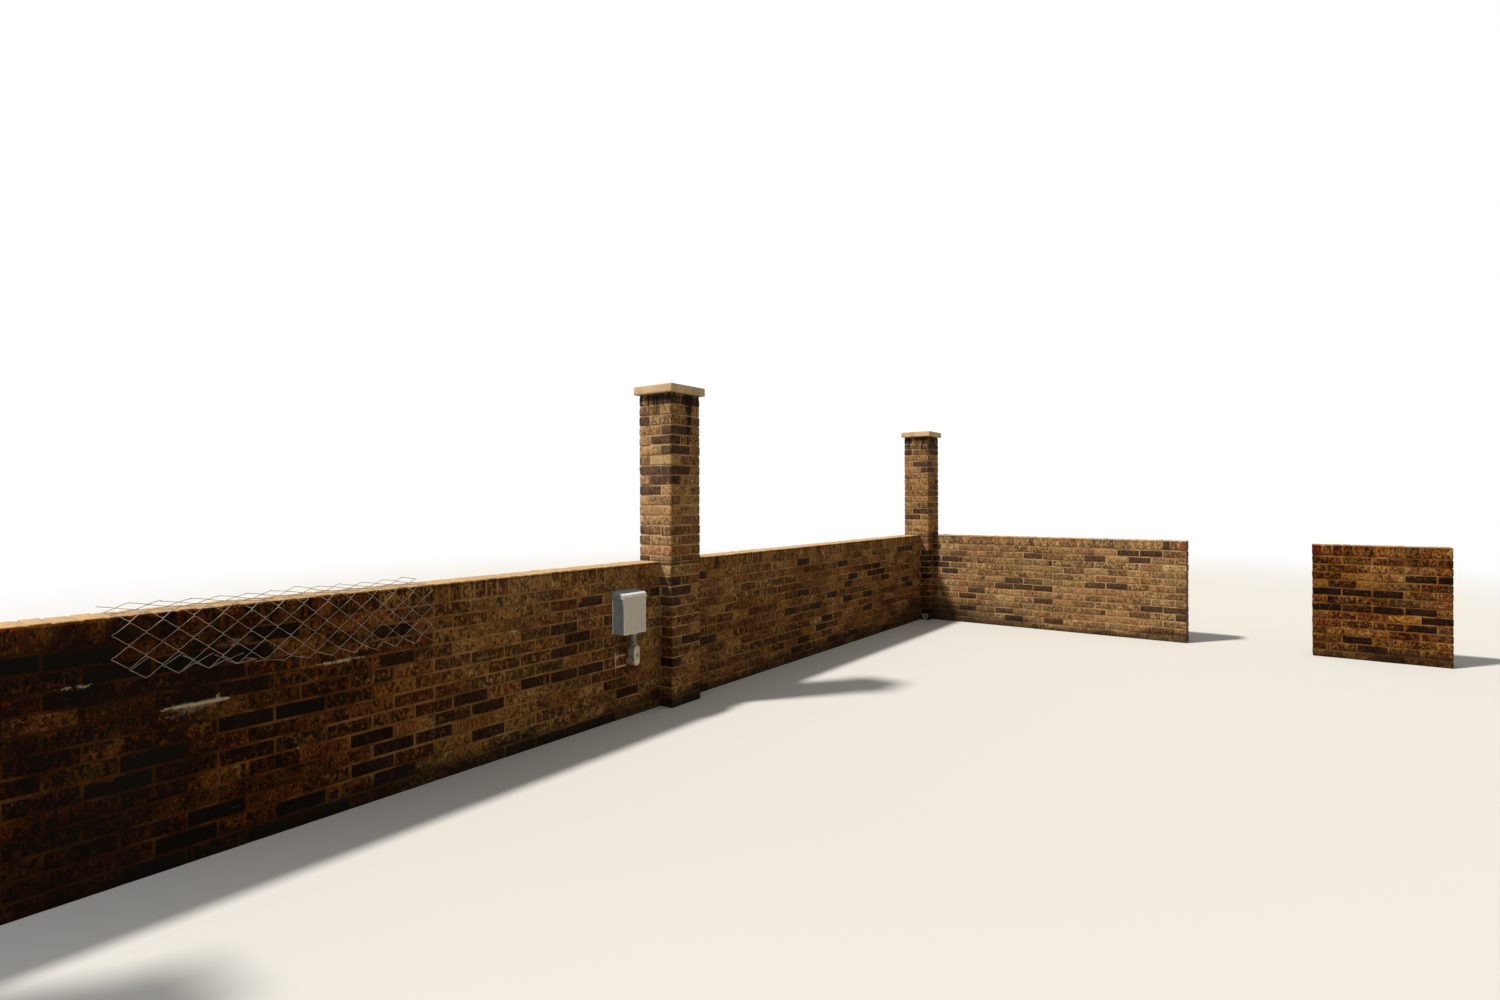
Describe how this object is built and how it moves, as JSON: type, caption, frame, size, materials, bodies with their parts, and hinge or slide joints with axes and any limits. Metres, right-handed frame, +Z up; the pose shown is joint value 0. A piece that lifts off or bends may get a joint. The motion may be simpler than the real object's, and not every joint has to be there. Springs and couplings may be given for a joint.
{
  "type": "brick garden wall",
  "caption": "Brick garden wall in bays between tall capped piers, with a corner, a return, a path opening and a length that meets a house.",
  "frame": {"origin": "centre of the corner pier's underside, at ground level", "axes": "+Z up; the two long bays run from the corner pier towards -X, and the return wall runs towards -Y; the paved side is -Y of the long bays"},
  "size_m": [9.124, 4.742, 2.17],
  "materials": {
    "brick": "matte",
    "coping_brick": "matte",
    "mortar": "matte",
    "cap_stone": "matte",
    "pipe_plastic": "satin",
    "box_paint": "satin",
    "conduit_plastic": "matte",
    "gasket_rubber": "matte",
    "galvanised_wire": "satin"
  },
  "bodies": {
    "root": {"end_pier": "brick", "end_pier_bed": "mortar", "end_pier_cap": "cap_stone", "near_bay_wall": "brick", "near_bay_coping": "coping_brick", "middle_pier": "brick", "middle_pier_bed": "mortar", "middle_pier_cap": "cap_stone", "far_bay_wall": "brick", "far_bay_coping": "coping_brick", "corner_pier_foot": "brick", "corner_pier": "brick", "corner_pier_bed": "mortar", "corner_pier_cap": "cap_stone", "return_wall": "brick", "return_coping": "coping_brick", "house_side_wall": "brick", "house_side_coping": "coping_brick", "drain_pipe": "pipe_plastic", "box_tray": "box_paint", "box_cover": "box_paint", "box_hood": "box_paint", "box_hub": "box_paint", "conduit": "conduit_plastic", "conduit_elbow": "conduit_plastic", "elbow_hub": "conduit_plastic", "elbow_gasket": "gasket_rubber", "elbow_cover": "conduit_plastic", "wire_mesh_front": "galvanised_wire", "wire_mesh_top": "galvanised_wire"}
  },
  "joints": []
}
